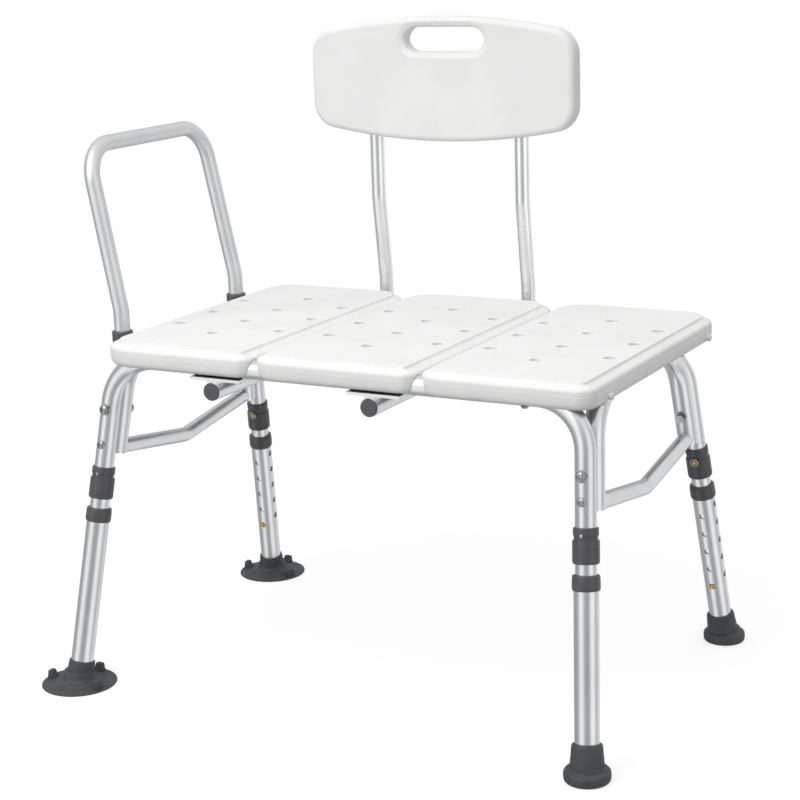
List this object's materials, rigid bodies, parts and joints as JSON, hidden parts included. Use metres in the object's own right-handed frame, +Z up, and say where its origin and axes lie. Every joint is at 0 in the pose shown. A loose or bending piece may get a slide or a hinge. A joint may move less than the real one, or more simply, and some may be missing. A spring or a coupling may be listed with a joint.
{
  "type": "bath transfer bench",
  "caption": "White panel bench seat with a backrest on bent posts, an arm rail over one end and telescopic splayed legs on suction cups and rubber tips",
  "frame": {"origin": "the middle of the bench's own box, on the floor under the feet, with the legs at their shortest setting", "axes": "+Z up; +Y to the back, where the backrest stands; +X from the arm rail end to the end without a rail"},
  "size_m": [0.7676, 0.57, 0.7985],
  "materials": {
    "white_hdpe": "white moulded HDPE, fine texture",
    "satin_aluminium": "satin anodised aluminium tube",
    "black_plastic": "dark grey moulded nylon",
    "black_rubber": "dark grey rubber",
    "brass": "bright brass",
    "zinc_steel": "zinc plated steel"
  },
  "bodies": {
    "root": {"seat_panel_left": "white_hdpe", "seat_panel_middle": "white_hdpe", "seat_panel_right": "white_hdpe", "panel_locating_pins": "white_hdpe", "front_leg_frame": "satin_aluminium", "rear_leg_frame": "satin_aluminium", "left_side_frame": "satin_aluminium", "right_side_frame": "satin_aluminium", "left_brace": "satin_aluminium", "right_brace": "satin_aluminium", "back_receiver_left": "satin_aluminium", "back_receiver_right": "satin_aluminium", "receiver_straps": "satin_aluminium", "arm_socket_tubes": "satin_aluminium", "arm_socket_carrier": "satin_aluminium", "receiver_caps": "black_plastic", "arm_socket_collars": "black_plastic", "seat_screws": "zinc_steel", "frame_bolts": "zinc_steel", "frame_washers": "zinc_steel", "frame_nuts": "zinc_steel", "frame_screws": "zinc_steel", "sleeve_rivets": "zinc_steel", "height_button_springs": "zinc_steel", "sleeve_button_springs": "zinc_steel", "inner_leg_tube_front_left": "satin_aluminium", "coupling_sleeve_front_left": "black_plastic", "inner_leg_tube_front_right": "satin_aluminium", "coupling_sleeve_front_right": "black_plastic", "inner_leg_tube_rear_left": "satin_aluminium", "coupling_sleeve_rear_left": "black_plastic", "inner_leg_tube_rear_right": "satin_aluminium", "coupling_sleeve_rear_right": "black_plastic"},
    "lower_leg_front_left": {"lower_leg_tube_front_left": "satin_aluminium", "lock_collar_front_left": "black_plastic", "suction_foot_front_left": "black_rubber"},
    "height_button_front_left": {"height_button_front_left": "brass"},
    "sleeve_button_front_left": {"sleeve_button_front_left": "brass"},
    "lower_leg_front_right": {"lower_leg_tube_front_right": "satin_aluminium", "lock_collar_front_right": "black_plastic", "rubber_foot_front_right": "black_rubber"},
    "height_button_front_right": {"height_button_front_right": "brass"},
    "sleeve_button_front_right": {"sleeve_button_front_right": "brass"},
    "lower_leg_rear_left": {"lower_leg_tube_rear_left": "satin_aluminium", "lock_collar_rear_left": "black_plastic", "suction_foot_rear_left": "black_rubber"},
    "height_button_rear_left": {"height_button_rear_left": "brass"},
    "sleeve_button_rear_left": {"sleeve_button_rear_left": "brass"},
    "lower_leg_rear_right": {"lower_leg_tube_rear_right": "satin_aluminium", "lock_collar_rear_right": "black_plastic", "rubber_foot_rear_right": "black_rubber"},
    "height_button_rear_right": {"height_button_rear_right": "brass"},
    "sleeve_button_rear_right": {"sleeve_button_rear_right": "brass"},
    "backrest": {"backrest_panel": "white_hdpe", "back_post_left": "satin_aluminium", "back_post_right": "satin_aluminium", "backrest_screws": "zinc_steel"},
    "arm_rail": {"arm_rail": "satin_aluminium"}
  },
  "joints": [
    {"name": "leg_height_front_left", "type": "slide", "parent": "root", "child": "lower_leg_front_left", "axis": [-0.0773, -0.1889, -0.9789], "range_m": [0, 0.1], "deforming": ["height_button_front_left"]},
    {"name": "leg_height_front_right", "type": "slide", "parent": "root", "child": "lower_leg_front_right", "axis": [0.0773, -0.1889, -0.9789], "range_m": [0, 0.1], "deforming": ["height_button_front_right"]},
    {"name": "leg_height_rear_left", "type": "slide", "parent": "root", "child": "lower_leg_rear_left", "axis": [-0.0773, 0.1889, -0.9789], "range_m": [0, 0.1], "deforming": ["height_button_rear_left"]},
    {"name": "leg_height_rear_right", "type": "slide", "parent": "root", "child": "lower_leg_rear_right", "axis": [0.0773, 0.1889, -0.9789], "range_m": [0, 0.1], "deforming": ["height_button_rear_right"]},
    {"name": "height_button_press_front_left", "type": "slide", "parent": "root", "child": "height_button_front_left", "axis": [0.0149, -0.982, 0.1883], "range_m": [0, 0.0042], "stiffness_N_per_m": 800, "springref_m": -0.003, "deforming": ["height_button_springs"]},
    {"name": "height_button_press_front_right", "type": "slide", "parent": "root", "child": "height_button_front_right", "axis": [-0.0149, -0.982, 0.1883], "range_m": [0, 0.0042], "stiffness_N_per_m": 800, "springref_m": -0.003, "deforming": ["height_button_springs"]},
    {"name": "height_button_press_rear_left", "type": "slide", "parent": "root", "child": "height_button_rear_left", "axis": [0.0149, 0.982, 0.1883], "range_m": [0, 0.0042], "stiffness_N_per_m": 800, "springref_m": -0.003, "deforming": ["height_button_springs"]},
    {"name": "height_button_press_rear_right", "type": "slide", "parent": "root", "child": "height_button_rear_right", "axis": [-0.0149, 0.982, 0.1883], "range_m": [0, 0.0042], "stiffness_N_per_m": 800, "springref_m": -0.003, "deforming": ["height_button_springs"]},
    {"name": "sleeve_button_press_front_left", "type": "slide", "parent": "root", "child": "sleeve_button_front_left", "axis": [0.0149, -0.982, 0.1883], "range_m": [0, 0.006], "stiffness_N_per_m": 800, "springref_m": -0.003, "deforming": ["sleeve_button_springs"]},
    {"name": "sleeve_button_press_front_right", "type": "slide", "parent": "root", "child": "sleeve_button_front_right", "axis": [-0.0149, -0.982, 0.1883], "range_m": [0, 0.006], "stiffness_N_per_m": 800, "springref_m": -0.003, "deforming": ["sleeve_button_springs"]},
    {"name": "sleeve_button_press_rear_left", "type": "slide", "parent": "root", "child": "sleeve_button_rear_left", "axis": [0.0149, 0.982, 0.1883], "range_m": [0, 0.006], "stiffness_N_per_m": 800, "springref_m": -0.003, "deforming": ["sleeve_button_springs"]},
    {"name": "sleeve_button_press_rear_right", "type": "slide", "parent": "root", "child": "sleeve_button_rear_right", "axis": [-0.0149, 0.982, 0.1883], "range_m": [0, 0.006], "stiffness_N_per_m": 800, "springref_m": -0.003, "deforming": ["sleeve_button_springs"]},
    {"name": "backrest_slide", "type": "slide", "parent": "root", "child": "backrest", "axis": [0, 1, 0], "range_m": [0, 0.14]},
    {"name": "arm_rail_lift", "type": "slide", "parent": "root", "child": "arm_rail", "axis": [0, 0, 1], "range_m": [0, 0.035]}
  ]
}
